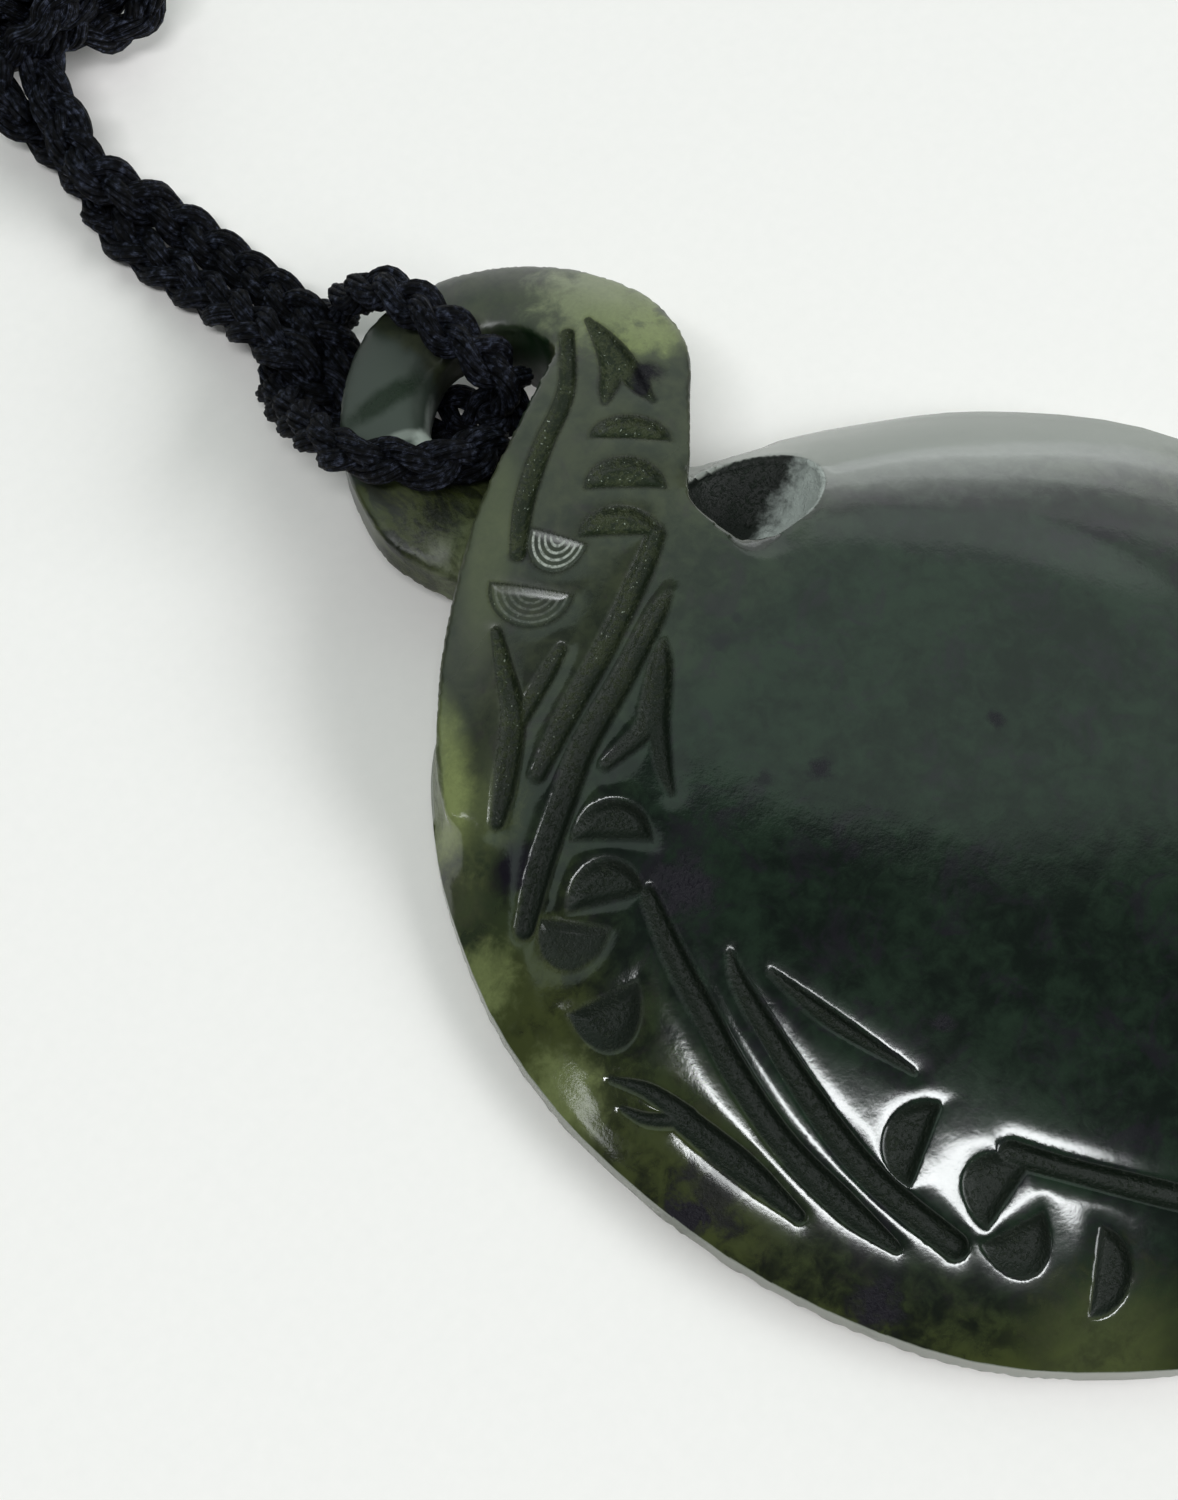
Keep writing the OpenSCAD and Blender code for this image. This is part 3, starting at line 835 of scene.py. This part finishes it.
# Painted sheen: the blade's far edge is tinted pale grey for the far wall reflected in it.
painted_far_sheen = far.between(14.2, 19.6) * (1 - z.between(5.0, 6.2)) * (1 - y.between(21, 22.5))
colour = (painted_far_sheen * 0.9).tinted(colour, FAR_EDGE_SHEEN)
# Painted light and shade in the ring's bore: pale on its left wall, near black deeper in.
painted_bore_light_and_shade = (x + mottle * 0.8).between(-3.4, -2.4).tinted(*BORE_LIGHT_AND_SHADE)
colour = (bore * (1 - pit)).tinted(colour, painted_bore_light_and_shade)
# Painted highlight arcs on the ring's face.
colour = (streaks(PAINTED_HIGHLIGHT_ARCS) * (1 - y.between(33, 34))).tinted(colour, HIGHLIGHT_ARC_COLOUR)
# Painted reflection: the rim's upright wall is tinted pale grey for the white card reflected in it.
wall = wall.between(0.85, 0.95)
colour = (wall * 0.85).tinted(colour, WALL_REFLECTION_COLOUR)

# The polish: a mirror in the blade, satin in the neck.
satin = y.between(16, 22) * 0.25 + (1 - y.between(-4, 4)) * 0.05
roughness = 0.07 + mottle * 0.05 + satin + chips * 0.25 + bright * 0.2 + wall * 0.15
feed(shader, colour, roughness, mottle * 0.15 + dust * 0.06, 0.6, 0.06)

# The dull finish of what the burr cut, with grit in the troughs and painted light on the pit's far side.
flaw = spots(FLAW, 1.6)
grit = (dust * 0.7 + mottle * 0.3).between(0.52, 0.66)
sparks = place.noise(7.5, 1, 0.5).between(0.7, 0.76)
olive_dust = (mottle * 0.5 + dust * 0.5).between(0.46, 0.58)
cut_colour = neck.tinted(*TROUGH_COLOURS)
cut_colour = (olive_dust * neck * 0.55).tinted(cut_colour, TROUGH_OLIVE)
cut_colour = (grit * (0.2 + neck * 0.35)).tinted(cut_colour, TROUGH_GRIT)
cut_colour = (sparks * neck * 0.8).tinted(cut_colour, TROUGH_SPARK)
# Painted light: the pit's far side is tinted pale where light falls into it.
painted_pit_light = (z * 0.5 - y + (mottle - 0.5) * 3.0).between(-15.8, -14.2)
cut_colour = pit.tinted(cut_colour, painted_pit_light.tinted(grit.tinted(*PIT_DARKS), PIT_PAINTED_LIGHT))
cut_colour = (1 - cut.math("MAXIMUM", cut, pit)).tinted(cut_colour, colour)
cut_colour = flaw.tinted(cut_colour, FLAW_COLOUR)
feed(cut_shader, cut_colour, 0.5 + grit * 0.2, dust + grit * 0.5, 0.7, 0.08)

# Where the stone is dull: in the cuts, and more softly on lips that the window's light passes by, on the
# neck's specks and on the band.
shaded = (y + (x + 14.5) * 1.2).between(1.8, 4)
dull = cut + pit + flaw + painted_dark_reflection * 0.8 + lip.between(0.45, 0.8) * shaded * 0.8
dull = dull + specks * 0.7 * (1 - y.between(8, 12)) + band * (1 - y.between(26, 28)) * 0.7
dull = dull.math("MINIMUM", dull, 1) * (1 - ringed.between(0, 0.3) * 0.8)
mixed = start.node("ShaderNodeMixShader", None, {0: dull})
mixer = mixed.socket.node
start.tree.links.new(shader.outputs[0], mixer.inputs[1])
start.tree.links.new(cut_shader.outputs[0], mixer.inputs[2])
start.tree.links.new(mixed.socket, start.tree.nodes["Material Output"].inputs["Surface"])
blank_mesh.materials.append(stone_finish)
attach(carved_stone, "root")
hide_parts("stone_pendant")

# The table: a wide sheet of plain white card, matt, under everything. It lies a hair below the stone.
CARD_HALF = 3.0
CARD_DROP = 0.05
CARD_WHITES = (0.89, 0.86, 0.84), (0.93, 0.895, 0.875)
card = bmesh.new()
bmesh.ops.create_grid(card, x_segments=1, y_segments=1, size=CARD_HALF)
bmesh.ops.translate(card, verts=card.verts, vec=(0, 0, -CARD_DROP * MM))
card_mesh = bpy.data.meshes.new("white_card")
card.to_mesh(card_mesh)
card.free()
white_card = bpy.data.objects.new("white_card", card_mesh)
scene.collection.objects.link(white_card)
card_finish, start, shader = new_finish("matt_white_card", {"IOR": 1.4})
tooth = place_in_mm(start).noise(1.5, 3, 0.6)
feed(shader, tooth.tinted(*CARD_WHITES), 0.7 + tooth * 0.1, tooth, 0.05, 0.02)
card_mesh.materials.append(card_finish)

# The light of the room: a wide soft panel above and beyond the pendant, a pale wall behind it that is
# brighter towards its foot, a bright window and a narrow door on the left, a soft fill from the right, and
# very little from the dark room itself.
LAMPS = [
    # name, azimuth, elevation, roll, distance m, width m, depth m, radiance
    ("left_window", 196, 67, 20, 0.8, 0.46, 0.09, 22.0),
    ("left_door", 160, 40, 0, 0.8, 0.08, 0.04, 5.0),
    ("far_wall_top", 46, 31, 0, 1.2, 1.8, 0.26, 0.4),
    ("far_wall_middle", 46, 20, 0, 1.2, 1.8, 0.24, 0.8),
    ("far_wall_low", 46, 10, 0, 1.2, 1.8, 0.22, 1.3),
    ("far_wall_foot", 46, 2, 0, 1.2, 1.8, 0.16, 1.5),
    ("right_fill", -60, 33, 0, 1.0, 0.8, 0.45, 6.4),
]
DAYLIGHT = (0.96, 0.99, 1.0)
# The panel hangs level, turned and a little away from above the pendant. Its sizes are in metres.
PANEL_HEIGHT = 0.6
PANEL_TURN = radians(-25)
PANEL_SIZE = (1.6, 0.9)
PANEL_NEAR = 0.213
PANEL_RADIANCE = 0.54
PANEL_TINT = (0.8, 1.0, 0.88)
ROOM_COLOUR = (0.95, 0.97, 1)
ROOM_STRENGTH = 0.1


def soft_lamp(name, place, turn, size, radiance, tint):
    """A flat lamp of the given brightness, that only its light and reflections show."""
    lamp = bpy.data.lights.new(name, "AREA")
    lamp.shape = "RECTANGLE"
    lamp.color = tint
    lamp.size, lamp.size_y = size
    lamp.energy = radiance * size[0] * size[1] * pi
    holder = bpy.data.objects.new(name, lamp)
    holder.location = place
    holder.rotation_euler = turn
    holder.visible_camera = False
    scene.collection.objects.link(holder)


for name, azimuth, elevation, roll, distance, width, depth, radiance in LAMPS:
    way = Vector((cos(radians(azimuth)), sin(radians(azimuth)), 0)) * cos(radians(elevation))
    way.z = sin(radians(elevation))
    turn = way.to_track_quat("Z", "Y") @ Quaternion((0, 0, 1), radians(roll))
    soft_lamp(name, way * distance, turn.to_euler(), (width, depth), radiance, DAYLIGHT)
panel_out = PANEL_NEAR * PANEL_HEIGHT + PANEL_SIZE[1] / 2
panel_place = (-sin(PANEL_TURN) * panel_out, cos(PANEL_TURN) * panel_out, PANEL_HEIGHT)
soft_lamp("far_panel", panel_place, (0, 0, PANEL_TURN), PANEL_SIZE, PANEL_RADIANCE, PANEL_TINT)
room = bpy.data.worlds.new("room")
room.use_nodes = True
background = room.node_tree.nodes["Background"]
background.inputs["Color"].default_value = (*ROOM_COLOUR, 1)
background.inputs["Strength"].default_value = ROOM_STRENGTH
scene.world = room
scene.view_settings.view_transform = "Standard"
